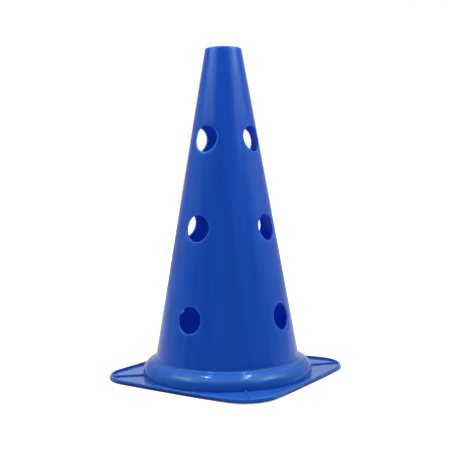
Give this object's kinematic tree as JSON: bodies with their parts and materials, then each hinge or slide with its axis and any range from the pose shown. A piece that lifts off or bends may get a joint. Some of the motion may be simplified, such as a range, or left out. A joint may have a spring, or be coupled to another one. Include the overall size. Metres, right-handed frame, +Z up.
{
  "type": "training cone",
  "caption": "Hollow tapered training cone with rows of round pole holes, standing in a square base with rounded corners and a round collar that lifts off over the top.",
  "frame": {"origin": "on the floor, under the middle of the cone", "axes": "+Z up along the cone's axis; X and Y square to the sides of the base, in line with the pole holes"},
  "size_m": [0.22, 0.22, 0.38],
  "materials": {
    "cone_plastic": "semi-gloss moulded blue",
    "base_plastic": "semi-gloss moulded blue"
  },
  "bodies": {
    "cone": {"cone_shell": "cone_plastic"},
    "base": {"square_base": "base_plastic"}
  },
  "joints": [
    {"name": "base_lift", "type": "slide", "parent": "cone", "child": "base", "axis": [0, 0, 1], "range_m": [0, 0.4]}
  ]
}
